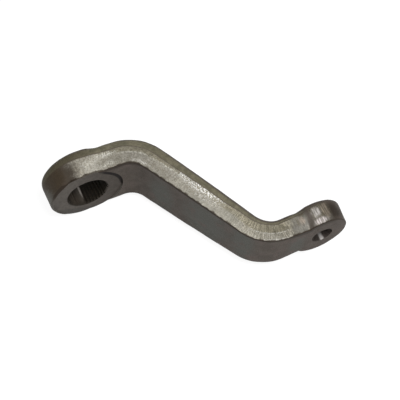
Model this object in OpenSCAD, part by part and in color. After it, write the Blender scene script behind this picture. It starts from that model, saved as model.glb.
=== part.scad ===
// Dropped pitman arm: a forged steering arm with a splined hub, two opposite bends and a
// tapered hole for a ball stud. X runs from the hub to the stud boss, Z is up with the arm
// lying on its side, and both holes run along Y. The origin is on the hub's axis, in the
// plane of the nut seat.

/* [Layout] */
// Distance along X between the two holes
hole_distance = 141; // [130:0.5:170]
// Drop from the nut seat to the boss face
drop = 98; // [70:0.5:120]
// Length from the hub's axis to the corner of the first bend
hub_leg = 35.5; // [34:0.5:40]
// Length from the corner of the second bend to the stud hole
boss_leg = 49.5; // [46:0.5:54]
// Radius inside the first bend, on the near face
hub_bend_r = 15; // [10:0.5:20]
// Radius outside the second bend, on the near face
boss_bend_r = 35; // [28:0.5:42]

/* [Splined hub] */
// Width of the hub's near face, along the arm
hub_w = 57.4; // [54:0.2:60]
// Height of the hub's near face, across the arm
hub_h = 50; // [48:0.5:56]
// Diameter of the hub at its far edge
hub_far_d = 58.4; // [56:0.2:62]
// Length of the hub from the nut seat to the far face
hub_len = 22.4; // [18:0.2:26]
// Depth of the machined nut seat in the bar's face
seat_depth = 1.2; // [0.6:0.1:2]
// Diameter of the nut seat
seat_d = 53.8; // [50:0.2:56]
// Diameter at the roots of the spline
spline_root_d = 32; // [28:0.25:34]
// Depth of a spline groove
groove_depth = 1.1; // [0.6:0.1:1.6]
// Number of tooth pitches around the bore
spline_pitches = 36; // [24:4:40]
// Number of wide teeth, which set the arm's position on its shaft
wide_teeth = 4; // [1:1:4]
// Number of grooves that each wide tooth fills
filled_grooves = 2; // [1:1:3]
// Angle of the first wide tooth, in degrees up from the X axis
wide_tooth_angle = 68; // [0:1:90]
// Length of the lead-in chamfer at each end of the spline
lead_in = 1; // [0.4:0.1:1.5]

/* [Stud boss] */
// Width of the boss's near face, along the arm
boss_w = 42; // [38:0.5:45]
// Height of the boss's near face, across the arm
boss_h = 41.5; // [37:0.5:44]
// Diameter of the boss at its far edge
boss_far_d = 44.8; // [42:0.2:48]
// How far the stud hole is from the boss's middle, towards the tip
hole_offset = 1.2; // [0:0.1:2]
// Length of the boss along its hole
boss_len = 18.2; // [14:0.2:22]
// Diameter of the tapered hole at the near face
stud_hole_d = 16.1; // [12:0.1:20]
// Length over which the taper loses one unit of diameter
stud_taper = 8; // [6:0.5:12]

/* [Bar] */
// Width of the bar at the hub
bar_w_hub = 51; // [46:0.2:53]
// Width of the bar half way along
bar_w_middle = 48.8; // [40:0.2:50]
// Width of the bar at the boss
bar_w_boss = 32.6; // [28:0.2:36]
// Thickness of the bar at the hub
bar_t_hub = 21.8; // [18:0.2:24]
// Thickness of the bar at the boss
bar_t_boss = 17; // [13:0.2:20]
// How much further the bar's far edges reach out at the hub
flare_hub = 3.2; // [0:0.2:4]
// Length along the bar over which the flare at the hub fades out
flare_hub_len = 36; // [26:2:50]
// How much further the bar's far edges reach out at the boss
flare_boss = 3.4; // [0:0.2:5]
// Length along the bar over which the flare at the boss fades out
flare_boss_len = 38; // [26:2:50]

/* [Edges] */
// Radius of the sharp upper edge of the near face
sharp_r = 0.8; // [0.3:0.1:1.1]
// Radius of the bar's lower edge on the near face
bar_low_r = 7.2; // [5:0.2:10]
// Radius of the hub's lower edge on the near face
hub_low_r = 2.5; // [1:0.5:7]
// Radius of the boss's lower edge on the near face
boss_low_r = 1; // [1:0.5:6]
// Radius of the far edges at the hub
far_r_hub = 6.4; // [3:0.2:8]
// Radius of the far edges at the boss
far_r_boss = 4; // [2:0.5:5]

/* [Hidden] */
// How far a cut runs past the face that it opens
over = 2;
// Steps around a bend, along a straight, around a disc and around a rounded edge
bend_steps = 14;
straight_steps = 4;
disc_steps = 72;
edge_steps = 6;
right_angle = 90;
// Shares of a tooth pitch that a groove takes at its root and at its mouth
root_share = 0.35;
mouth_share = 0.7;
half_turn = 180;
full_turn = 360;
steel = [0.36, 0.34, 0.31];

// The near face of the bar is a line with two bends, drawn in the XY plane
slope_run = hole_distance - hub_leg - boss_leg;
slope_fall = drop - seat_depth;
bend_angle = atan2(slope_fall, slope_run);
hub_bend_cut = hub_bend_r * tan(bend_angle / 2);
boss_bend_cut = boss_bend_r * tan(bend_angle / 2);
hub_bend_centre = [hub_leg - hub_bend_cut, -seat_depth - hub_bend_r];
boss_bend_centre = [hole_distance - boss_leg + boss_bend_cut, -drop + boss_bend_r];
hub_straight = hub_leg - hub_bend_cut;
hub_bend_len = PI * hub_bend_r * bend_angle / half_turn;
slope_straight = norm([slope_run, slope_fall]) - hub_bend_cut - boss_bend_cut;
boss_bend_len = PI * boss_bend_r * bend_angle / half_turn;
boss_straight = boss_leg - boss_bend_cut;
slope_start = hub_straight + hub_bend_len;
slope_end = slope_start + slope_straight;
boss_straight_start = slope_end + boss_bend_len;
path_len = boss_straight_start + boss_straight;

function between(a, b, t) = a + (b - a) * t;
// Direction from the near face into the bar, where the path points angle below the X axis
function inward(angle) = [sin(angle), cos(angle)];
function on_arc(centre, r, angle) = centre + r * inward(angle);

// Each station is [point on the near face, angle of the path, length along the path]
hub_straight_stations = [for (i = [0 : straight_steps - 1])
    let (s = hub_straight * i / straight_steps)
    [[s, -seat_depth], 0, s]];
hub_bend_stations = [for (i = [0 : bend_steps])
    let (t = i / bend_steps)
    [on_arc(hub_bend_centre, hub_bend_r, bend_angle * t), bend_angle * t,
        between(hub_straight, slope_start, t)]];
slope_stations = [for (i = [1 : straight_steps - 1])
    let (t = i / straight_steps,
        from = on_arc(hub_bend_centre, hub_bend_r, bend_angle),
        to = on_arc(boss_bend_centre, -boss_bend_r, bend_angle))
    [between(from, to, t), bend_angle, between(slope_start, slope_end, t)]];
boss_bend_stations = [for (i = [0 : bend_steps])
    let (t = i / bend_steps)
    [on_arc(boss_bend_centre, -boss_bend_r, bend_angle * (1 - t)), bend_angle * (1 - t),
        between(slope_end, boss_straight_start, t)]];
boss_straight_stations = [for (i = [1 : straight_steps])
    let (s = boss_straight * i / straight_steps)
    [[hole_distance - boss_straight + s, -drop], 0, boss_straight_start + s]];
stations = concat(hub_straight_stations, hub_bend_stations, slope_stations,
    boss_bend_stations, boss_straight_stations);

// The width is a smooth curve through its three values. The thickness stays even along the
// two straights and changes between them.
function half_width(s) =
    let (t = s / path_len, bow = bar_w_middle - (bar_w_hub + bar_w_boss) / 2)
    (between(bar_w_hub, bar_w_boss, t) + 4 * bow * t * (1 - t)) / 2;
function past_hub(s) = max(0, min(1, (s - hub_straight) / (boss_straight_start - hub_straight)));
function thickness(s) = between(bar_t_hub, bar_t_boss, past_hub(s));
function far_radius(s) = between(far_r_hub, far_r_boss, past_hub(s));

// Extra reach of the far edges, in a smooth curve that fades out along the bar
function fade(t) = t < 1 ? (1 + cos(half_turn * t)) / 2 : 0;
function flare(s) =
    flare_hub * fade(s / flare_hub_len) + flare_boss * fade((path_len - s) / flare_boss_len);

// A side from the near face to the far face, each point as [inset, depth]
function quarter(r, i) =
    let (a = right_angle * i / edge_steps)
    [r * (1 - sin(a)), r * (1 - cos(a))];
function side(near_r, far_r, len) = concat(
    [for (i = [0 : edge_steps]) quarter(near_r, i)],
    [for (i = [edge_steps : -1 : 0]) let (p = quarter(far_r, i)) [p[0], len - p[1]]]);

// Closed skin over a list of rings that have equally many points
module skin(rings) {
    n = len(rings[0]);
    last = (len(rings) - 1) * n;
    points = [for (ring = rings) for (p = ring) p];
    walls = [for (i = [0 : len(rings) - 2]) for (j = [0 : n - 1])
        let (a = i * n + j, b = i * n + (j + 1) % n)
        for (face = [[a, b, b + n], [a, b + n, a + n]]) face];
    caps = [[for (j = [n - 1 : -1 : 0]) j], [for (j = [0 : n - 1]) last + j]];
    polyhedron(points, concat(walls, caps));
}

// The bent bar: sharp along the upper edge of its near face, rounded along the others
function bar_point(station, depth, z) =
    let (p = station[0] + depth * inward(station[1]))
    [p[0], p[1], z];
function bar_ring(station) =
    let (
        s = station[2],
        w = half_width(s),
        draft = flare(s) / thickness(s),
        upper = side(sharp_r, far_radius(s), thickness(s)),
        lower = side(bar_low_r, far_radius(s), thickness(s)))
    concat(
        [for (p = upper) bar_point(station, p[1], w + draft * p[1] - p[0])],
        [for (i = [len(lower) - 1 : -1 : 0])
            let (p = lower[i])
            bar_point(station, p[1], p[0] - w - draft * p[1])]);
module bar() {
    skin([for (station = stations) bar_ring(station)]);
}

// A forged disc that grows from an oval near face to a round far one. Its near edge is sharp
// at the top and rounded at the sides and below, and its far edge is rounded all around.
function disc_side(angle, low_r, far_r, len) =
    side(between(sharp_r, low_r, min(1, 1 - sin(angle))), far_r, len);
function disc_reach(angle, w, h, far_d, t) =
    between(between(h, w, abs(cos(angle))), far_d, t) / 2;
module disc(w, h, far_d, len, low_r, far_r) {
    side_points = 2 * (edge_steps + 1);
    skin([for (k = [0 : side_points - 1])
        [for (i = [0 : disc_steps - 1])
            let (
                angle = full_turn * i / disc_steps,
                p = disc_side(angle, low_r, far_r, len)[k],
                r = disc_reach(angle, w, h, far_d, p[1] / len) - p[0])
            [r * cos(angle), p[1], r * sin(angle)]]]);
}

// Places what is built along Z so that it starts at y and runs toward the far side
module along_y(x, y) {
    translate([x, y, 0])
        rotate([-right_angle, 0, 0])
            children();
}

// The splined bore: grooves between narrow teeth, with a few wide teeth among them
tip_r = spline_root_d / 2 - groove_depth;
pitch_angle = full_turn / spline_pitches;
wide_spacing = full_turn / wide_teeth;
wide_reach = filled_grooves * pitch_angle / 2;
function from_wide_tooth(angle) =
    let (off = (angle - wide_tooth_angle + full_turn) % wide_spacing)
    min(off, wide_spacing - off);
module groove() {
    half_root = root_share * PI * spline_root_d / spline_pitches / 2;
    half_mouth = mouth_share * PI * spline_root_d / spline_pitches / 2;
    polygon([[0, -half_mouth], [tip_r, -half_mouth], [spline_root_d / 2, -half_root],
        [spline_root_d / 2, half_root], [tip_r, half_mouth], [0, half_mouth]]);
}
module spline_bore() {
    deep = seat_depth + hub_len + 2 * over;
    start = -seat_depth - over;
    along_y(0, start)
        cylinder(h = deep, r = tip_r, $fn = disc_steps);
    along_y(0, start)
        linear_extrude(height = deep)
            for (i = [0 : spline_pitches - 1])
                let (angle = wide_tooth_angle + pitch_angle * (i + (filled_grooves + 1) % 2 / 2))
                if (from_wide_tooth(angle) > wide_reach)
                    rotate(-angle)
                        groove();
    mouth_r = tip_r + groove_depth * (lead_in + over) / lead_in;
    along_y(0, -over)
        cylinder(h = over + lead_in, r1 = mouth_r, r2 = tip_r, $fn = disc_steps);
    along_y(0, hub_len - lead_in)
        cylinder(h = over + lead_in, r1 = tip_r, r2 = mouth_r, $fn = disc_steps);
}

// The seat that the shaft's nut and washer pull against
module nut_seat() {
    along_y(0, -drop)
        cylinder(h = drop, d = seat_d, $fn = disc_steps);
}

// The tapered hole, whose large end is on the near face
module stud_hole() {
    wide = stud_hole_d + over / stud_taper;
    narrow = stud_hole_d - (boss_len + over) / stud_taper;
    along_y(hole_distance, -drop - over)
        cylinder(h = boss_len + 2 * over, d1 = wide, d2 = narrow, $fn = disc_steps);
}

module pitman_arm() {
    color(steel)
        difference() {
            union() {
                bar();
                translate([0, -seat_depth, 0])
                    disc(hub_w, hub_h, hub_far_d, hub_len + seat_depth, hub_low_r, far_r_hub);
                translate([hole_distance - hole_offset, -drop, 0])
                    disc(boss_w, boss_h, boss_far_d, boss_len, boss_low_r, far_r_boss);
            }
            nut_seat();
            spline_bore();
            stud_hole();
        }
}

pitman_arm();
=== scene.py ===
"""A forged pitman arm lying on its side on a pale floor, under soft studio light.

The arm is skinned again here from the values of its CAD source, in finer steps, with blended
junctions and the slight unevenness of a forging. Lengths are in millimetres until a mesh is made.
"""

import math

import bmesh
import bpy
import numpy as np
from mathutils import Matrix, Vector, noise
from mathutils.kdtree import KDTree


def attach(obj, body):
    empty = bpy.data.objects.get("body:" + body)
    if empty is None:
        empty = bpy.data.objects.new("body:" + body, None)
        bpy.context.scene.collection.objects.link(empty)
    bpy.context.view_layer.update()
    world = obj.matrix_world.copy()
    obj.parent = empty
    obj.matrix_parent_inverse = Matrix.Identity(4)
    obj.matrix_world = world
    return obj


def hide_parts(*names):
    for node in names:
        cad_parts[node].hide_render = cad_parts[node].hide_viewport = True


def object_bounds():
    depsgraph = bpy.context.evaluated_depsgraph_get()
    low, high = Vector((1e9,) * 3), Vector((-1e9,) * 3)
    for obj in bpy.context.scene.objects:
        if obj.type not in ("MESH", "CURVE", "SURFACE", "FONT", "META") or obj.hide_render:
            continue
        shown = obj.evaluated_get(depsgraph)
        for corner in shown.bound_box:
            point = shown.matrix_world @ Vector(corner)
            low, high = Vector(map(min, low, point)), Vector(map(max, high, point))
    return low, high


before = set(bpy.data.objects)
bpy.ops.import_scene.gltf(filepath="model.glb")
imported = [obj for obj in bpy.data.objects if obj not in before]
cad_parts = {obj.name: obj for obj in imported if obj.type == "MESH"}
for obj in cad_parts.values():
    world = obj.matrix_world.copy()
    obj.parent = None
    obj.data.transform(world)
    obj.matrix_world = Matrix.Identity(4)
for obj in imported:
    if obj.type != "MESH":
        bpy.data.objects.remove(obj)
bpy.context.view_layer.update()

MM = 0.001

# ---------------------------------------------------------------- the source's values
HOLE_DISTANCE = 141.0
DROP = 98.0
HUB_LEG = 35.5
BOSS_LEG = 49.5
HUB_BEND_R = 15.0
BOSS_BEND_R = 35.0

HUB_W = 57.4
HUB_H = 50.0
HUB_FAR_D = 58.4
HUB_LEN = 22.4
SEAT_DEPTH = 1.2
SEAT_D = 53.8
SPLINE_ROOT_D = 32.0
GROOVE_DEPTH = 1.1
SPLINE_PITCHES = 36
WIDE_TEETH = 4
FILLED_GROOVES = 2
WIDE_TOOTH_ANGLE = 68.0
LEAD_IN = 1.0

BOSS_W = 42.0
BOSS_H = 41.5
BOSS_FAR_D = 44.8
HOLE_OFFSET = 1.2
BOSS_LEN = 18.2
STUD_HOLE_D = 16.1
STUD_TAPER = 8.0

BAR_W = (51.0, 48.8, 32.6)
BAR_T = (21.8, 17.0)
FLARE = (3.2, 3.4)
FLARE_LEN = (36.0, 38.0)

SHARP_R = 0.8
BAR_LOW_R = 7.2
HUB_LOW_R = 2.5
BOSS_LOW_R = 1.0
FAR_R = (6.4, 4.0)

TIP_R = SPLINE_ROOT_D / 2 - GROOVE_DEPTH

# How finely the skins are stepped
STEP = 1.1
EDGE_STEPS = 8
DISC_STEPS = 216
BORE_STEPS = 14
OVER = 2.0

# Faces that would lie level are kept a hair apart where blanks join: the discs start RECESS
# deeper, and the bar sinks by SINK over its last SINK_LEN
RECESS = 0.05
SINK = 0.12
SINK_LEN = 14.0

# ---------------------------------------------------------------- the path of the bar
BEND = math.atan2(DROP - SEAT_DEPTH, HOLE_DISTANCE - HUB_LEG - BOSS_LEG)
HUB_CUT = HUB_BEND_R * math.tan(BEND / 2)
BOSS_CUT = BOSS_BEND_R * math.tan(BEND / 2)
HUB_CENTRE = np.array([HUB_LEG - HUB_CUT, -SEAT_DEPTH - HUB_BEND_R])
BOSS_CENTRE = np.array([HOLE_DISTANCE - BOSS_LEG + BOSS_CUT, -DROP + BOSS_BEND_R])
HUB_STRAIGHT = HUB_LEG - HUB_CUT
SLOPE = math.hypot(HOLE_DISTANCE - HUB_LEG - BOSS_LEG, DROP - SEAT_DEPTH) - HUB_CUT - BOSS_CUT
SLOPE_START = HUB_STRAIGHT + HUB_BEND_R * BEND
SLOPE_END = SLOPE_START + SLOPE
BOSS_STRAIGHT_START = SLOPE_END + BOSS_BEND_R * BEND
PATH_LEN = BOSS_STRAIGHT_START + BOSS_LEG - BOSS_CUT


def inward(angle):
    """Direction from the near face into the bar, where the path points angle below the X axis."""
    return np.array([math.sin(angle), math.cos(angle)])


def station(s):
    """Point on the near face and angle of the path, s millimetres along it."""
    if s <= HUB_STRAIGHT:
        return np.array([s, -SEAT_DEPTH]), 0.0
    if s <= SLOPE_START:
        angle = (s - HUB_STRAIGHT) / HUB_BEND_R
        return HUB_CENTRE + HUB_BEND_R * inward(angle), angle
    if s <= SLOPE_END:
        start = HUB_CENTRE + HUB_BEND_R * inward(BEND)
        return start + (s - SLOPE_START) * np.array([math.cos(BEND), -math.sin(BEND)]), BEND
    if s <= BOSS_STRAIGHT_START:
        angle = BEND - (s - SLOPE_END) / BOSS_BEND_R
        return BOSS_CENTRE - BOSS_BEND_R * inward(angle), angle
    return np.array([HOLE_DISTANCE + s - PATH_LEN, -DROP]), 0.0


def past_hub(s):
    return min(1.0, max(0.0, (s - HUB_STRAIGHT) / (BOSS_STRAIGHT_START - HUB_STRAIGHT)))


def between(a, b, t):
    return a + (b - a) * t


def half_width(s):
    t = s / PATH_LEN
    bow = BAR_W[1] - (BAR_W[0] + BAR_W[2]) / 2
    return (between(BAR_W[0], BAR_W[2], t) + 4 * bow * t * (1 - t)) / 2


def fade(t):
    return (1 + math.cos(math.pi * t)) / 2 if t < 1 else 0.0


def flare(s):
    """Extra reach of the far edges next to the hub and the boss."""
    return FLARE[0] * fade(s / FLARE_LEN[0]) + FLARE[1] * fade((PATH_LEN - s) / FLARE_LEN[1])


def side(near_r, far_r, length, flat_steps):
    """Points from the near face to the far one, each as [inset, depth]."""
    quarter = [math.pi / 2 * i / EDGE_STEPS for i in range(EDGE_STEPS + 1)]
    near = [[near_r * (1 - math.sin(a)), near_r * (1 - math.cos(a))] for a in quarter]
    far = [[far_r * (1 - math.sin(a)), length - far_r * (1 - math.cos(a))] for a in quarter[::-1]]
    flat = [[0.0, between(near_r, length - far_r, i / flat_steps)] for i in range(1, flat_steps)]
    return near + flat + far


# ---------------------------------------------------------------- meshes
def object_from(name, points, faces, finish):
    mesh = bpy.data.meshes.new(name)
    mesh.from_pydata([tuple(c * MM for c in p) for p in points], [], faces)
    mesh.materials.append(finish)
    mesh.validate()
    made = bpy.data.objects.new(name, mesh)
    bpy.context.scene.collection.objects.link(made)
    return made


def tube_faces(rings, n):
    """Quads between rings of n points each, and a face over each end, all facing out."""
    faces = [
        (i * n + j, (i + 1) * n + j, (i + 1) * n + (j + 1) % n, i * n + (j + 1) % n)
        for i in range(rings - 1)
        for j in range(n)
    ]
    faces.append(tuple(range(n)))
    faces.append(tuple(range(rings * n - 1, (rings - 1) * n - 1, -1)))
    return faces


def bar_blank(finish):
    """The bent bar, with quads of even size on all four sides, and a single face over each of its two hidden
    ends.
    """
    count = int(PATH_LEN / STEP)
    across = 30
    points = []
    for i in range(count + 1):
        s = PATH_LEN * i / count
        at, angle = station(s)
        w, share = half_width(s), past_hub(s)
        thick, far_r = between(*BAR_T, share), between(*FAR_R, share)
        upper = side(SHARP_R, far_r, thick, 12)
        lower = side(BAR_LOW_R, far_r, thick, 12)
        draft = flare(s) / thick
        sink = SINK * fade((PATH_LEN - s) / SINK_LEN)
        top = [(w + draft * p[1] - p[0], p[1]) for p in upper]
        bottom = [(p[0] - w - draft * p[1], p[1]) for p in lower[::-1]]
        section = list(top)
        section += [(between(top[-1][0], bottom[0][0], j / across), thick) for j in range(1, across)]
        section += bottom
        section += [(between(bottom[-1][0], top[0][0], j / across), 0.0) for j in range(1, across)]
        for z, depth in section:
            p = at + (depth + sink * (1 - depth / thick)) * inward(angle)
            points.append((p[0], p[1], z))
    n = len(section)
    return object_from("bar_blank", points, tube_faces(count + 1, n), finish)


def disc_blank(name, centre, w, h, far_d, length, low_r, far_r, finish):
    """A forged disc that grows from an oval near face to a round far one."""
    flat_steps, cap_steps = 12, 22
    rings = []
    for k in range(2 * (EDGE_STEPS + 1) + flat_steps - 1):
        ring = []
        for i in range(DISC_STEPS):
            a = 2 * math.pi * i / DISC_STEPS
            near_r = between(SHARP_R, low_r, min(1.0, 1 - math.sin(a)))
            inset, depth = side(near_r, far_r, length, flat_steps)[k]
            size = between(between(h, w, abs(math.cos(a))), far_d, depth / length)
            r = size / 2 - inset
            ring.append((r * math.cos(a), depth, r * math.sin(a)))
        rings.append(ring)

    def shrunk(ring, t):
        return [(p[0] * t, p[1], p[2] * t) for p in ring]

    shares = [(i + 1) / (cap_steps + 1) for i in range(cap_steps)]
    rings = [shrunk(rings[0], t) for t in shares] + rings
    rings += [shrunk(rings[-1], t) for t in shares[::-1]]
    points = [(p[0] + centre[0], p[1] + centre[1], p[2]) for ring in rings for p in ring]
    return object_from(name, points, tube_faces(len(rings), DISC_STEPS), finish)


def turned(name, profile, centre_x, finish, steps=DISC_STEPS):
    """A solid of revolution about a line along Y, from a list of [radius, y]."""
    points = [
        (
            centre_x + r * math.cos(2 * math.pi * i / steps),
            y,
            r * math.sin(2 * math.pi * i / steps),
        )
        for r, y in profile
        for i in range(steps)
    ]
    return object_from(name, points, tube_faces(len(profile), steps), finish)


def spline_outline():
    """The bore's outline as [x, z]: narrow grooves, with a few wide teeth among them."""
    tip, root = TIP_R, SPLINE_ROOT_D / 2
    pitch = 2 * math.pi / SPLINE_PITCHES
    spacing = 2 * math.pi / WIDE_TEETH
    wide = math.radians(WIDE_TOOTH_ANGLE)
    flank = [(-0.5, 0), (-0.38, 0), (-0.33, 0.1), (-0.2, 0.86), (-0.15, 1), (0, 1)]
    flank += [(0.15, 1), (0.2, 0.86), (0.33, 0.1), (0.38, 0)]
    outline = []
    for i in range(SPLINE_PITCHES):
        middle = wide + pitch * (i + (FILLED_GROOVES + 1) % 2 / 2)
        off = (middle - wide) % spacing
        filled = min(off, spacing - off) <= FILLED_GROOVES * pitch / 2
        for place, depth in flank:
            r = tip if filled else between(tip, root, depth)
            a = middle + place * pitch
            outline.append((r * math.cos(a), r * math.sin(a)))
    return outline


def spline_cutter(finish):
    outline = spline_outline()
    start, stop = -SEAT_DEPTH - OVER, HUB_LEN + OVER
    ys = [between(start, stop, i / BORE_STEPS) for i in range(BORE_STEPS + 1)]
    points = [(x, y, z) for y in ys for x, z in outline]
    return object_from("spline_cutter", points, tube_faces(len(ys), len(outline)), finish)


def combine(body, other, operation):
    """Joins or cuts with an exact boolean, and keeps the other piece's finish on its faces."""
    change = body.modifiers.new("combine", "BOOLEAN")
    change.operation = operation
    change.object = other
    change.solver = "EXACT"
    change.material_mode = "TRANSFER"
    graph = bpy.context.evaluated_depsgraph_get()
    mesh = bpy.data.meshes.new_from_object(body.evaluated_get(graph))
    body.modifiers.clear()
    body.data = mesh
    bpy.data.objects.remove(other)


def weld(mesh):
    """Joins points that the cuts left closer than a thousandth of a millimetre."""
    welded = bmesh.new()
    welded.from_mesh(mesh)
    bmesh.ops.remove_doubles(welded, verts=welded.verts, dist=0.001 * MM)
    bmesh.ops.dissolve_degenerate(welded, edges=welded.edges, dist=0.0001 * MM)
    welded.to_mesh(mesh)
    welded.free()


def even_shading(body):
    """Lets large faces set the shading, so that slivers beside a cut don't show."""
    change = body.modifiers.new("even_shading", "WEIGHTED_NORMAL")
    change.keep_sharp = True
    graph = bpy.context.evaluated_depsgraph_get()
    mesh = bpy.data.meshes.new_from_object(body.evaluated_get(graph))
    body.modifiers.clear()
    body.data = mesh


def neighbours(mesh):
    edges = np.empty(len(mesh.edges) * 2, np.int64)
    mesh.edges.foreach_get("vertices", edges)
    return edges.reshape(-1, 2)


def coordinates(mesh):
    co = np.empty(len(mesh.vertices) * 3, np.float64)
    mesh.vertices.foreach_get("co", co)
    return co.reshape(-1, 3) / MM


def give_coordinates(mesh, co):
    mesh.vertices.foreach_set("co", (co * MM).astype(np.float32).ravel())
    mesh.update()


def smoothstep(low, high, value):
    t = np.clip((value - low) / (high - low), 0, 1)
    return t * t * (3 - 2 * t)


def path_place(points):
    """Length along the path and depth from the near face, for points as [x, y]."""
    count = 900
    s = np.linspace(0, PATH_LEN, count)
    on_path = [station(value) for value in s]
    line = np.array([p for p, angle in on_path])
    turned_by = np.array([angle for p, angle in on_path])
    tree = KDTree(count)
    for i, p in enumerate(line):
        tree.insert((p[0], p[1], 0), i)
    tree.balance()
    nearest = np.array([tree.find((x, y, 0))[1] for x, y in points])
    angle = turned_by[nearest]
    step = points - line[nearest]
    depth = step[:, 0] * np.sin(angle) + step[:, 1] * np.cos(angle)
    return s[nearest], depth


def blend_junctions(mesh, reach, rounds):
    """Softens the creases where the bar runs into the hub and the boss, as forging dies leave them."""
    co = coordinates(mesh)
    edges = neighbours(mesh)
    finish = np.empty(len(mesh.polygons), np.int64)
    mesh.polygons.foreach_get("material_index", finish)
    low = np.full(len(co), 99)
    high = np.full(len(co), -1)
    for polygon, index in zip(mesh.polygons, finish):
        for v in polygon.vertices:
            low[v] = min(low[v], index)
            high[v] = max(high[v], index)
    crease = np.nonzero(low != high)[0]
    tree = KDTree(len(crease))
    for i, v in enumerate(crease):
        tree.insert(co[v], i)
    tree.balance()
    away = np.array([tree.find(p)[2] for p in co])
    depth = path_place(co[:, :2])[1]
    weight = (1 - smoothstep(0.3 * reach, reach, away)) * smoothstep(0.6, 3.0, depth)
    for _ in range(rounds):
        total = np.zeros_like(co)
        shared = np.zeros(len(co))
        for a, b in ((0, 1), (1, 0)):
            np.add.at(total, edges[:, a], co[edges[:, b]])
            np.add.at(shared, edges[:, a], 1)
        middle = total / np.maximum(shared, 1)[:, None]
        co += (middle - co) * (0.5 * weight)[:, None]
    give_coordinates(mesh, co)


def forge_unevenly(mesh, amount):
    """Sinks the skin by up to amount along its normals, in soft shallow waves."""
    co = coordinates(mesh)
    normals = np.zeros_like(co)
    for polygon in mesh.polygons:
        normals[list(polygon.vertices)] += np.array(polygon.normal) * polygon.area
    normals /= np.maximum(np.linalg.norm(normals, axis=1), 1e-15)[:, None]
    wave = np.array([
        noise.noise(Vector(p) / 14.0) + 0.5 * noise.noise(Vector(p) / 5.0 + Vector((7, 3, 1)))
        for p in co
    ])
    depth = amount * smoothstep(-0.9, 0.9, wave)
    give_coordinates(mesh, co - normals * depth[:, None])


def inside_outline(co, along, depth):
    """Distance in from the outline that the arm shows from its near face, in millimetres."""
    bar = half_width(np.clip(along, 0, PATH_LEN)) - np.abs(co[:, 2])
    bar = np.minimum(bar, np.minimum(along, PATH_LEN - along) + 3.0)
    inside = bar
    discs = (
        (0.0, HUB_W, HUB_H, HUB_FAR_D, HUB_LEN + SEAT_DEPTH, along < HUB_LEG + 10),
        (HOLE_DISTANCE - HOLE_OFFSET, BOSS_W, BOSS_H, BOSS_FAR_D, BOSS_LEN, along > SLOPE_END),
    )
    for centre, w, h, far_d, length, nearby in discs:
        x, z = co[:, 0] - centre, co[:, 2]
        r = np.hypot(x, z)
        share = np.clip(depth / length, 0, 1)
        reach = between(between(h, w, np.abs(x) / np.maximum(r, 1e-6)), far_d, share) / 2
        inside = np.where(nearby, np.maximum(inside, reach - r), inside)
    return inside


# Where the bright trimmed band stops, and where a second pass of the grinder left its edge,
# as [length along the arm, depth from the near face]
TRIM_EDGE = [
    (-40, 15.6), (0, 15.3), (6, 14.8), (13, 14.3), (20, 13.9), (29, 13.8), (35, 13.1), (45, 12.9),
    (54, 12.6), (90, 12.2), (105, 11.8), (118, 12.4), (141, 12.6), (153, 12.3), (166, 12.6),
    (176, 13.2), (190, 14.6), (230, 14.6),
]
PASS_EDGE = [
    (-40, 16.0), (10, 14.5), (22, 11.7), (31, 9.6), (38, 8.6), (51, 9.8), (60, 10.2), (75, 9.4),
    (100, 8.0), (125, 7.0), (135, 6.7), (146, 6.6), (161, 5.8), (172, 5.6), (182, 5.8), (230, 6.0),
]


def thickness(along):
    return np.interp(along, [0, 24, 30, 150, 168, 176],
                     [HUB_LEN + SEAT_DEPTH, HUB_LEN + SEAT_DEPTH, BAR_T[0], BAR_T[1], BAR_T[1], BOSS_LEN])


def mark_places(mesh):
    """Stores where each point lies on the unrolled arm, for the finishes to read."""
    co = coordinates(mesh)
    along, depth = path_place(co[:, :2])
    along = np.where(along <= 0, co[:, 0], along)
    along = np.where(along >= PATH_LEN, PATH_LEN + co[:, 0] - HOLE_DISTANCE, along)
    edges = {
        "past_trim": depth - np.interp(along, *np.array(TRIM_EDGE).T),
        "past_pass": depth - np.interp(along, *np.array(PASS_EDGE).T),
        "past_far": depth - thickness(along),
        "from_outline": inside_outline(co, along, depth),
    }
    for name, value in edges.items():
        mesh.attributes.new(name, "FLOAT", "POINT").data.foreach_set(
            "value", value.astype(np.float32)
        )
    unrolled = np.stack([along, depth, co[:, 2]], 1).astype(np.float32)
    mesh.attributes.new("unrolled", "FLOAT_VECTOR", "POINT").data.foreach_set(
        "vector", unrolled.ravel()
    )


# ---------------------------------------------------------------- nodes
def add(tree, kind, values=(), **settings):
    """Adds a node. values gives its inputs, by name or number, a value or another node's output."""
    made = tree.nodes.new(kind)
    for key, value in settings.items():
        setattr(made, key, value)
    for key, value in dict(values).items():
        if isinstance(value, bpy.types.NodeSocket):
            tree.links.new(value, made.inputs[key])
        else:
            made.inputs[key].default_value = value
    return made


def maths(tree, operation, *values):
    return add(tree, "ShaderNodeMath", enumerate(values), operation=operation).outputs[0]


def rise(tree, value, low, high, start=0.0, stop=1.0):
    """A smooth step from start to stop while value goes from low to high."""
    values = {"Value": value, 1: low, 2: high, 3: start, 4: stop}
    return add(tree, "ShaderNodeMapRange", values, interpolation_type="SMOOTHSTEP").outputs[0]


def blend(tree, share, first, second, kind="MIX"):
    values = {0: share, 6: first, 7: second}
    return add(tree, "ShaderNodeMix", values, data_type="RGBA", blend_type=kind).outputs[2]


def noise_value(tree, vector, scale, detail=2.0, rough=0.5):
    values = {"Vector": vector, "Scale": scale, "Detail": detail, "Roughness": rough}
    return add(tree, "ShaderNodeTexNoise", values).outputs[0]


def attribute(tree, name):
    return add(tree, "ShaderNodeAttribute", attribute_name=name)


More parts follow.
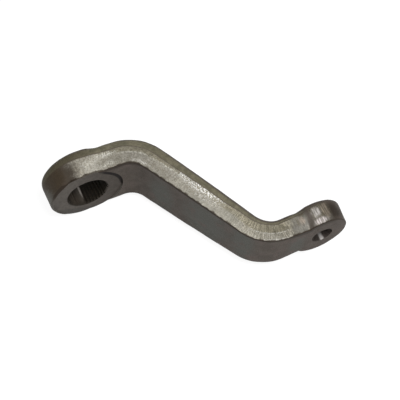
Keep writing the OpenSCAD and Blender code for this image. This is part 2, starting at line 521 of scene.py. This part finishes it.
def effect(name, inputs, outputs):
    """A shared node group, returned with its two end nodes."""
    group = bpy.data.node_groups.new(name, "ShaderNodeTree")
    kinds = {"vector": "NodeSocketVector", "number": "NodeSocketFloat"}
    for label, kind, value in inputs:
        socket = group.interface.new_socket(name=label, in_out="INPUT", socket_type=kinds[kind])
        if value is not None:
            socket.default_value = value
    for label in outputs:
        group.interface.new_socket(name=label, in_out="OUTPUT", socket_type=kinds["number"])
    return group, group.nodes.new("NodeGroupInput").outputs, group.nodes.new("NodeGroupOutput").inputs


def use(tree, group, **values):
    return add(tree, "ShaderNodeGroup", values, node_tree=group).outputs[0]


def make_mottling():
    """Cloudy patches about Size millimetres across."""
    inputs = [("Vector", "vector", None), ("Size", "number", 5.0)]
    inputs += [("Low", "number", 0.4), ("High", "number", 0.6)]
    group, given, out = effect("mottling", inputs, ["Mask"])
    scale = maths(group, "DIVIDE", 1.0, given["Size"])
    cloud = noise_value(group, given["Vector"], scale, 4.0, 0.6)
    group.links.new(rise(group, cloud, given["Low"], given["High"]), out["Mask"])
    return group


def make_strokes():
    """Fine parallel marks, Spacing apart along the arm and Length long across it."""
    inputs = [("Vector", "vector", None), ("Spacing", "number", 0.6), ("Length", "number", 6.0)]
    inputs += [("Low", "number", 0.4), ("High", "number", 0.6)]
    group, given, out = effect("strokes", inputs, ["Mask"])
    along = maths(group, "DIVIDE", 1.0, given["Spacing"])
    across = maths(group, "DIVIDE", 1.0, given["Length"])
    size = add(group, "ShaderNodeCombineXYZ", {0: along, 1: across, 2: across}).outputs[0]
    moved = add(
        group, "ShaderNodeVectorMath", {0: given["Vector"], 1: size}, operation="MULTIPLY"
    ).outputs[0]
    cloud = noise_value(group, moved, 1.0, 3.0, 0.55)
    group.links.new(rise(group, cloud, given["Low"], given["High"]), out["Mask"])
    return group


def make_patch():
    """One soft ragged patch at Centre that fades out over Reach."""
    inputs = [("Vector", "vector", None), ("Centre", "vector", (0, 0, 0))]
    inputs += [("Reach", "vector", (5, 5, 50)), ("Ragged", "number", 0.4)]
    group, given, out = effect("patch", inputs, ["Mask"])
    away = add(
        group, "ShaderNodeVectorMath", {0: given["Vector"], 1: given["Centre"]}, operation="SUBTRACT"
    ).outputs[0]
    shares = add(
        group, "ShaderNodeVectorMath", {0: away, 1: given["Reach"]}, operation="DIVIDE"
    ).outputs[0]
    reach = add(group, "ShaderNodeVectorMath", {0: shares}, operation="LENGTH").outputs["Value"]
    cloud = maths(group, "SUBTRACT", noise_value(group, given["Vector"], 0.45, 4.0, 0.7), 0.5)
    ragged = maths(group, "MULTIPLY_ADD", cloud, given["Ragged"], reach)
    group.links.new(rise(group, ragged, 0.35, 1.15, 1.0, 0.0), out["Mask"])
    return group


mottling = make_mottling()
strokes = make_strokes()
patch = make_patch()


def finish_tree(name, metallic, roughness):
    """A material with a lone shader, returned with its tree and that shader."""
    made = bpy.data.materials.new(name)
    made.use_nodes = True
    tree = made.node_tree
    shader = tree.nodes["Principled BSDF"]
    shader.inputs["Metallic"].default_value = metallic
    shader.inputs["Roughness"].default_value = roughness
    return made, tree, shader


def connect(tree, shader, **sockets):
    for name, socket in sockets.items():
        tree.links.new(socket, shader.inputs[name.replace("_", " ")])


def rough_surface(tree, height, depth):
    """A bump from height, whose full range is depth metres."""
    values = {"Height": height, "Distance": depth, "Strength": 1.0}
    return add(tree, "ShaderNodeBump", values).outputs[0]


def make_forged_skin():
    made, tree, shader = finish_tree("forged_skin", 0.3, 0.6)
    shader.inputs["Specular IOR Level"].default_value = 0.2
    place = attribute(tree, "unrolled").outputs["Vector"]
    past_trim = attribute(tree, "past_trim").outputs["Fac"]
    past_pass = attribute(tree, "past_pass").outputs["Fac"]
    past_far = attribute(tree, "past_far").outputs["Fac"]
    from_outline = attribute(tree, "from_outline").outputs["Fac"]
    parts = add(tree, "ShaderNodeSeparateXYZ", {0: place})
    along, depth, height = parts.outputs
    facing = add(tree, "ShaderNodeSeparateXYZ", {0: add(tree, "ShaderNodeTexCoord").outputs["Normal"]})
    up = maths(tree, "ABSOLUTE", facing.outputs[2])
    fine = noise_value(tree, place, 0.9, 4.0, 0.65)
    wander = maths(tree, "MULTIPLY_ADD", fine, 0.9, -0.45)

    # the trimmed band: flat sides only, as far as the trim edge
    level = rise(tree, maths(tree, "MULTIPLY_ADD", fine, 0.06, up), 0.90, 1.03)
    short_of_edge = rise(tree, maths(tree, "ADD", past_trim, wander), -0.25, 0.25, 1.0, 0.0)
    trimmed = maths(tree, "MULTIPLY", level, short_of_edge)

    # scale: brown with grey-green clouds, olive on the sides past the trim edge
    brown = blend(tree, use(tree, mottling, Vector=place, Size=9.0, Low=0.4, High=0.6),
                  (0.096, 0.079, 0.065, 1), (0.080, 0.064, 0.052, 1))
    scale = brown
    for centre, reach in (((59, 0, 0), (13, 6, 26)), ((98, 0, 2), (24, 6, 34)),
                          ((129, 0, 8), (11, 6, 30)), ((171, 0, 0), (8, 6, 20)),
                          ((-12, 0, -24), (14, 12, 9))):
        here = use(tree, patch, Vector=place, Centre=centre, Reach=reach, Ragged=1.1)
        scale = blend(tree, here, scale, (0.092, 0.091, 0.078, 1))
    shifted = add(tree, "ShaderNodeVectorMath", {0: place, 1: (40, 9, 5)}, operation="ADD").outputs[0]
    scale = blend(tree, use(tree, mottling, Vector=shifted, Size=11.0, Low=0.5, High=0.7),
                  scale, (0.108, 0.084, 0.072, 1))
    # Darker patches: on the hub's left side this is painted shade, for the side that faces away from the
    # light; on the boss it is darker scale.
    for centre, reach, dark_scale_and_shade in (((-22, 10, 17), (19, 15, 19), (0.056, 0.040, 0.024, 1)),
                                 ((201, 8, 15), (9, 8, 22), (0.036, 0.027, 0.019, 1))):
        here = use(tree, patch, Vector=place, Centre=centre, Reach=reach, Ragged=0.5)
        scale = blend(tree, here, scale, dark_scale_and_shade)
    dull = maths(tree, "MULTIPLY", rise(tree, along, 140.0, 165.0), rise(tree, along, 198.0, 208.0, 1.0, 0.0))
    scale = blend(tree, dull, scale, blend(tree, 1.0, scale, (0.85, 0.82, 0.80, 1), "MULTIPLY"))
    # Painted highlight: a lighter patch on the rounded left edge of the hub's near face, for the light that
    # edge catches.
    painted_highlight = use(tree, patch, Vector=place, Centre=(-29, 2.0, 1.0), Reach=(9, 11, 16), Ragged=0.9)
    scale = blend(tree, painted_highlight, scale, (0.128, 0.120, 0.103, 1))
    olive = blend(tree, use(tree, mottling, Vector=place, Size=4.0, Low=0.35, High=0.65),
                  (0.185, 0.166, 0.112, 1), (0.125, 0.115, 0.076, 1))
    # Painted shade: the olive darkens towards the hub's left, where the far edge faces away from the light.
    olive = blend(tree, rise(tree, along, -8.0, 18.0, 0.85, 0.0), olive, (0.072, 0.060, 0.036, 1))
    olive = blend(tree, rise(tree, along, 170.0, 184.0, 0.0, 0.9), olive, (0.076, 0.067, 0.053, 1))
    beyond = maths(tree, "MULTIPLY", rise(tree, past_trim, 0.0, 1.0),
                   rise(tree, maths(tree, "ADD", past_far, wander), -3.4, -1.9, 1.0, 0.0))
    scale = blend(tree, beyond, scale, olive)
    speck = use(tree, mottling, Vector=place, Size=0.8, Low=0.3, High=0.7)
    scale = blend(tree, speck, scale, blend(tree, 1.0, scale, (0.72, 0.72, 0.72, 1), "MULTIPLY"))
    # Painted shade: the near face darkens within 2 mm of its outline, where its edges round away from the
    # light.
    painted_rim_shade = maths(tree, "MULTIPLY", rise(tree, from_outline, 0.3, 2.0, 1.0, 0.0),
                     rise(tree, depth, 0.5, 1.5, 0.7, 0.0))
    notch = use(tree, patch, Vector=place, Centre=(173, 0, -16), Reach=(18, 20, 12), Ragged=0.0)
    painted_rim_shade = maths(tree, "MULTIPLY", painted_rim_shade, maths(tree, "SUBTRACT", 1.0, notch))
    scale = blend(tree, painted_rim_shade, scale, (0.03, 0.022, 0.016, 1))

    # bright steel where it was trimmed, in two passes, with strokes across the arm
    grain = use(tree, mottling, Vector=place, Size=1.0, Low=0.36, High=0.64)
    steel = blend(tree, grain, (0.52, 0.49, 0.42, 1), (0.325, 0.303, 0.255, 1))
    second = rise(tree, maths(tree, "ADD", past_pass, wander), -0.4, 0.4)
    steel = blend(tree, second, steel, blend(tree, 1.0, steel, (0.80, 0.78, 0.70, 1), "MULTIPLY"))
    hatch = use(tree, strokes, Vector=place, Spacing=0.85, Length=7.0, Low=0.42, High=0.58)
    hatched = maths(tree, "MULTIPLY", hatch, rise(tree, along, 108.0, 140.0, 0.35, 1.0))
    steel = blend(tree, hatched, steel, blend(tree, 1.0, steel, (0.62, 0.62, 0.60, 1), "MULTIPLY"))
    cloudy = use(tree, mottling, Vector=place, Size=7.0, Low=0.4, High=0.6)
    steel = blend(tree, cloudy, steel, blend(tree, 1.0, steel, (0.84, 0.83, 0.80, 1), "MULTIPLY"))
    flecks = use(tree, mottling, Vector=place, Size=0.9, Low=0.46, High=0.56)
    # Brighter and darker patches of trimmed steel, flecked; the first, near-white one along the trim edge is
    # a painted highlight.
    for centre, reach, ragged, colour in (
        ((84, 10.4, 25), (24, 3.4, 60), 2.4, (0.95, 0.94, 0.90, 1)),
        ((92, 6.0, 25), (12, 3.0, 60), 2.4, (0.60, 0.58, 0.53, 1)),
        ((58, 10.0, 25), (18, 0.8, 60), 2.0, (0.72, 0.70, 0.62, 1)),
        ((36, 9.2, 25), (15, 0.8, 60), 2.0, (0.66, 0.64, 0.56, 1)),
        ((41, 2.6, 25), (9, 1.6, 60), 1.6, (0.74, 0.72, 0.66, 1)),
        ((18, 4.0, 25), (7, 2.2, 60), 1.6, (0.66, 0.64, 0.56, 1)),
        ((6, 8.0, 25), (8, 7.0, 60), 2.6, (0.51, 0.49, 0.43, 1)),
        ((19, 11.6, 25), (9, 2.4, 60), 1.8, (0.78, 0.76, 0.68, 1)),
        ((153, 6.2, 20), (22, 0.6, 60), 1.6, (0.60, 0.58, 0.52, 1)),
        ((152, 1.2, 20), (12, 0.9, 60), 1.4, (0.70, 0.68, 0.62, 1)),
    ):
        here = use(tree, patch, Vector=place, Centre=centre, Reach=reach, Ragged=ragged)
        steel = blend(tree, maths(tree, "MULTIPLY", here, flecks), steel, colour)
    steel = blend(tree, rise(tree, along, 168.0, 184.0), steel,
                  blend(tree, 1.0, steel, (0.40, 0.39, 0.385, 1), "MULTIPLY"))
    for centre, reach, colour in (
        ((182, 9, 20), (5.0, 8.0, 60), (0.115, 0.103, 0.088, 1)),
        ((188.5, 10, 20), (4.2, 4.8, 60), (0.37, 0.35, 0.33, 1)),
        ((189, 3.0, 20), (7.0, 2.6, 60), (0.48, 0.44, 0.425, 1)),
        ((195.5, 10.0, 20), (3.4, 7.5, 60), (0.32, 0.27, 0.21, 1)),
    ):
        here = use(tree, patch, Vector=place, Centre=centre, Reach=reach, Ragged=0.9)
        coarse = maths(tree, "MULTIPLY", here, maths(tree, "MULTIPLY_ADD", hatch, -0.65, 1.0))
        steel = blend(tree, coarse, steel, colour)
    for centre, reach, share, colour in (
        ((-15, 6.0, 25), (15, 16, 60), 1.0, (0.088, 0.073, 0.056, 1)),
        ((102, 1.5, 25), (30, 4.0, 60), 0.6, (0.33, 0.315, 0.27, 1)),
        ((114, 6.0, 25), (11, 4.0, 60), 0.5, (0.27, 0.26, 0.22, 1)),
        ((174.5, 6.5, 20), (11, 10, 60), 0.8, (0.130, 0.124, 0.110, 1)),
        ((177.0, 9.0, 20), (2.5, 3.6, 60), 0.9, (0.215, 0.182, 0.148, 1)),
        ((178.0, 13.6, 20), (3.2, 1.7, 60), 0.9, (0.105, 0.090, 0.062, 1)),
        ((173.6, 8.6, 20), (1.0, 3.6, 60), 0.8, (0.12, 0.105, 0.08, 1)),
    ):
        here = use(tree, patch, Vector=place, Centre=centre, Reach=reach, Ragged=0.9)
        steel = blend(tree, maths(tree, "MULTIPLY", here, share), steel, colour)
    colour = blend(tree, trimmed, scale, steel)

    # painted shade: a dark line along the rounded upper edge of the near face
    upper_edge_shade = maths(tree, "ADD", depth, rise(tree, along, 11.0, 14.0, -1.2, 0.0))
    ragged = maths(tree, "MULTIPLY_ADD", noise_value(tree, place, 0.2, 2.5, 0.55), 3.8, -2.05)
    upper_edge_shade = rise(tree, maths(tree, "ADD", upper_edge_shade, ragged), 0.45, 1.25, 0.85, 0.0)
    on_top = maths(tree, "MULTIPLY", rise(tree, height, 8.0, 12.0),
                   rise(tree, along, 192.0, 204.0, 1.0, 0.0))
    wider = maths(tree, "ADD", rise(tree, along, 158.0, 174.0, 0.3, 2.0),
                  rise(tree, along, 30.0, 44.0, 1.2, 0.0))
    outer = rise(tree, maths(tree, "SUBTRACT", from_outline, wider), 1.0, 2.2, 1.0, 0.0)
    line = maths(tree, "MULTIPLY", maths(tree, "MULTIPLY", upper_edge_shade, on_top), outer)
    colour = blend(tree, line, colour, (0.030, 0.021, 0.014, 1))

    rough = maths(tree, "MULTIPLY_ADD", fine, 0.25, rise(tree, trimmed, 0.0, 1.0, 0.50, 0.28))
    metal = rise(tree, trimmed, 0.0, 1.0, 0.1, 0.8)
    grit = noise_value(tree, place, 1.6, 5.0, 0.65)
    relief = maths(tree, "MULTIPLY_ADD", hatch, rise(tree, trimmed, 0.0, 1.0, 0.0, 0.35), grit)
    bump = rough_surface(tree, relief, 0.00012)
    connect(tree, shader, Base_Color=colour, Roughness=rough, Metallic=metal, Normal=bump)
    return made


def make_turned_steel(name, first, second, metallic, roughness, size, bump_depth):
    """Cut steel: two close colours in fine clouds, with a light grain."""
    made, tree, shader = finish_tree(name, metallic, roughness)
    shader.inputs["Specular IOR Level"].default_value = 0.25
    place = attribute(tree, "unrolled").outputs["Vector"]
    cloud = use(tree, mottling, Vector=place, Size=size, Low=0.35, High=0.65)
    grain = noise_value(tree, place, 2.0, 4.0, 0.6)
    rough = maths(tree, "MULTIPLY_ADD", grain, 0.2, roughness - 0.1)
    colour = blend(tree, cloud, first, second)
    connect(tree, shader, Base_Color=colour, Roughness=rough,
            Normal=rough_surface(tree, grain, bump_depth))
    return made, tree, shader, colour


def make_machined_seat():
    """The seat, darker to one side, with painted shadow in the corner below the overhanging edge of the bar.
    """
    made, tree, shader, colour = make_turned_steel(
        "machined_seat", (0.102, 0.090, 0.078, 1), (0.082, 0.072, 0.062, 1), 0.2, 0.55, 2.0, 0.00006
    )
    shader.inputs["Specular IOR Level"].default_value = 0.1
    where = add(tree, "ShaderNodeSeparateXYZ", {0: attribute(tree, "unrolled").outputs["Vector"]})
    x, _, z = where.outputs
    from_outline = attribute(tree, "from_outline").outputs["Fac"]
    shade = rise(tree, x, -18.0, 22.0, 0.0, 1.0)
    colour = blend(tree, shade, colour, blend(tree, 1.0, colour, (0.72, 0.69, 0.67, 1), "MULTIPLY"))
    rim = maths(tree, "MULTIPLY", rise(tree, from_outline, 0.4, 4.2, 0.6, 0.0),
                rise(tree, z, -14.0, 10.0, 1.0, 0.0))
    colour = blend(tree, rim, colour, (0.05, 0.047, 0.043, 1))
    radius = maths(tree, "SQRT", maths(tree, "ADD", maths(tree, "MULTIPLY", x, x),
                                       maths(tree, "MULTIPLY", z, z)))
    mouth = maths(tree, "MULTIPLY_ADD", z, 0.05, maths(tree, "MULTIPLY_ADD", x, 0.03, radius))
    mouth = rise(tree, mouth, 15.0, 16.3, 0.9, 0.0)
    colour = blend(tree, mouth, colour, (0.022, 0.018, 0.013, 1))
    edge = rise(tree, radius, SEAT_D / 2 - 0.5, SEAT_D / 2 - 0.1)
    worn = maths(tree, "MULTIPLY", edge, rise(tree, z, -9.0, -3.0, 1.0, 0.0))
    colour = blend(tree, worn, colour, (0.125, 0.115, 0.10, 1))
    # Painted shadow in the corner where the bar's near face overhangs the seat, shading it from the light
    # above.
    corner = rise(tree, maths(tree, "MULTIPLY_ADD", z, 0.12, radius), SEAT_D / 2 - 2.5, SEAT_D / 2 - 1.5)
    side_on = rise(tree, maths(tree, "MULTIPLY_ADD", z, 0.55, x), 22.0, 25.5)
    painted_shadow = maths(tree, "MULTIPLY", corner, side_on)
    connect(tree, shader, Base_Color=blend(tree, painted_shadow, colour, (0.006, 0.003, 0.002, 1)))
    return made


def make_broached_spline():
    """The bore: dark with old oil, with a painted highlight along one edge of a wide tooth, and painted sheen
    on the wall beside it.
    """
    made, tree, shader, colour = make_turned_steel(
        "broached_spline", (0.020, 0.015, 0.010, 1), (0.011, 0.009, 0.006, 1), 0.2, 0.5, 2.0, 0.00003
    )
    place = attribute(tree, "unrolled").outputs["Vector"]
    edge = math.radians(WIDE_TOOTH_ANGLE + 180 + 11.3)
    centre = (TIP_R * math.cos(edge), 15.0, TIP_R * math.sin(edge))
    # Painted highlight along the edge of the wide tooth, where its wall catches the light.
    painted_highlight = use(tree, patch, Vector=place, Centre=centre, Reach=(1.3, 9.5, 1.8), Ragged=0.3)
    # Painted sheen: the wall beside that tooth is lighter towards its deep end, where light comes in through
    # the far opening.
    painted_sheen = use(tree, patch, Vector=place, Centre=(centre[0] - 2.0, 9.0, centre[2]),
                Reach=(3.0, 9.0, 3.0), Ragged=0.3)
    colour = blend(tree, maths(tree, "MULTIPLY", painted_sheen, 0.35), colour, (0.14, 0.12, 0.10, 1))
    # Painted sheen on the left of the bore's lower wall.
    second_painted_sheen = use(tree, patch, Vector=place, Centre=(-10.0, 6.5, -12.0), Reach=(6.0, 9.0, 6.0), Ragged=0.3)
    colour = blend(tree, second_painted_sheen, colour, (0.048, 0.039, 0.030, 1))
    connect(tree, shader, Base_Color=blend(tree, painted_highlight, colour, (0.34, 0.31, 0.28, 1)))
    return made


def make_reamed_taper():
    """The stud hole: dark, with a painted highlight in one strip along its lower wall."""
    made, tree, shader, colour = make_turned_steel(
        "reamed_taper", (0.088, 0.074, 0.066, 1), (0.054, 0.045, 0.040, 1), 0.5, 0.35, 1.5, 0.00002
    )
    place = attribute(tree, "unrolled").outputs["Vector"]
    # Painted highlight: a bright strip along the lower wall, for the light that wall reflects.
    painted_highlight_strip = use(tree, patch, Vector=place, Centre=(PATH_LEN + 1.4, 1.0, -8.0), Reach=(1.8, 8.0, 3.0),
                Ragged=0.25)
    connect(tree, shader, Base_Color=blend(tree, painted_highlight_strip, colour, (0.42, 0.40, 0.385, 1)))
    return made


def make_pale_floor():
    made, tree, shader = finish_tree("pale_floor", 0.0, 0.7)
    where = add(tree, "ShaderNodeTexCoord").outputs["Object"]
    cloud = noise_value(tree, where, 3.0)
    pale = blend(tree, cloud, (0.86, 0.86, 0.86, 1), (0.9, 0.9, 0.9, 1))
    seen = add(tree, "ShaderNodeLightPath").outputs["Is Camera Ray"]
    connect(tree, shader, Base_Color=blend(tree, seen, pale, (0.16, 0.16, 0.16, 1)),
            Emission_Color=blend(tree, seen, (0, 0, 0, 1), (1, 1, 1, 1)))
    shader.inputs["Emission Strength"].default_value = 0.9
    return made


# ---------------------------------------------------------------- the arm
skin = make_forged_skin()
disc_mark = bpy.data.materials.new("disc_mark")
seat = make_machined_seat()
splines = make_broached_spline()
taper = make_reamed_taper()

arm = bar_blank(skin)
arm.name = "arm_forging"
hub = disc_blank("hub_blank", (0, -SEAT_DEPTH + RECESS), HUB_W, HUB_H, HUB_FAR_D,
                 HUB_LEN + SEAT_DEPTH - RECESS, HUB_LOW_R, FAR_R[0], disc_mark)
boss = disc_blank("boss_blank", (HOLE_DISTANCE - HOLE_OFFSET, -DROP + RECESS), BOSS_W, BOSS_H,
                  BOSS_FAR_D, BOSS_LEN - RECESS, BOSS_LOW_R, FAR_R[1], disc_mark)
combine(arm, hub, "UNION")
combine(arm, boss, "UNION")
blend_junctions(arm.data, 4.5, 25)
forge_unevenly(arm.data, 0.25)
for polygon in arm.data.polygons:
    polygon.material_index = 0
arm.data.materials.pop(index=1)
combine(arm, turned("seat_cutter", [(SEAT_D / 2, -30.0), (SEAT_D / 2, 0.0)], 0, seat), "DIFFERENCE")
combine(arm, spline_cutter(splines), "DIFFERENCE")
lead_slope = GROOVE_DEPTH / LEAD_IN
near_lead = [(TIP_R + lead_slope * (LEAD_IN + OVER), -OVER), (TIP_R, LEAD_IN)]
far_lead = [(TIP_R, HUB_LEN - LEAD_IN), (TIP_R + lead_slope * (LEAD_IN + OVER), HUB_LEN + OVER)]
combine(arm, turned("near_lead", near_lead, 0, seat), "DIFFERENCE")
combine(arm, turned("far_lead", far_lead, 0, splines), "DIFFERENCE")
cone = [
    ((STUD_HOLE_D - depth / STUD_TAPER) / 2, depth - DROP)
    for depth in np.linspace(-OVER, BOSS_LEN + OVER, BORE_STEPS)
]
combine(arm, turned("taper_cutter", cone, HOLE_DISTANCE, taper, 144), "DIFFERENCE")
weld(arm.data)
mark_places(arm.data)
arm.data.shade_smooth()
arm.data.set_sharp_from_angle(angle=math.radians(32))
even_shading(arm)
print("arm", len(arm.data.vertices), sum(len(p.vertices) - 2 for p in arm.data.polygons),
      [m.name for m in arm.data.materials])
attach(arm, "root")
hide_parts("pitman_arm")

# ---------------------------------------------------------------- floor, light and camera
floor_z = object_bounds()[0].z
bpy.ops.mesh.primitive_plane_add(size=6, location=(0.07, -0.04, floor_z))
floor = bpy.context.object
floor.name = "floor"
floor.data.materials.append(make_pale_floor())

world = bpy.data.worlds.new("studio")
bpy.context.scene.world = world
world.use_nodes = True
studio = world.node_tree
seen = add(studio, "ShaderNodeLightPath").outputs["Is Camera Ray"]
studio.links.new(blend(studio, seen, (0.4, 0.4, 0.4, 1), (0.93, 0.93, 0.93, 1)),
                 studio.nodes["Background"].inputs["Color"])


def area_light(name, at, size, power):
    data = bpy.data.lights.new(name, "AREA")
    data.shape = "SQUARE"
    data.size = size
    data.energy = power
    lamp = bpy.data.objects.new(name, data)
    lamp.location = at
    lamp.rotation_euler = (Vector((0.07, -0.04, 0)) - Vector(at)).to_track_quat("-Z", "Y").to_euler()
    bpy.context.scene.collection.objects.link(lamp)


area_light("key", (0.2, -0.35, 0.95), 0.45, 9)

right = Vector((0.90976418, -0.41334407, 0.03841634))
down = Vector((-0.35169332, -0.81660795, -0.45767157))
forward = Vector((0.22054692, 0.40286243, -0.88829101))
data = bpy.data.cameras.new("camera")
data.sensor_width = 36
data.lens = 1018.3 * 36 / 400
data.clip_start, data.clip_end = 0.05, 20
camera = bpy.data.objects.new("camera", data)
turn = Matrix((right, -down, -forward)).transposed().to_4x4()
camera.matrix_world = Matrix.Translation(Vector((-90.8, -335.3, 656.8)) * MM) @ turn
bpy.context.scene.collection.objects.link(camera)
bpy.context.scene.camera = camera
bpy.context.scene.view_settings.view_transform = "Standard"
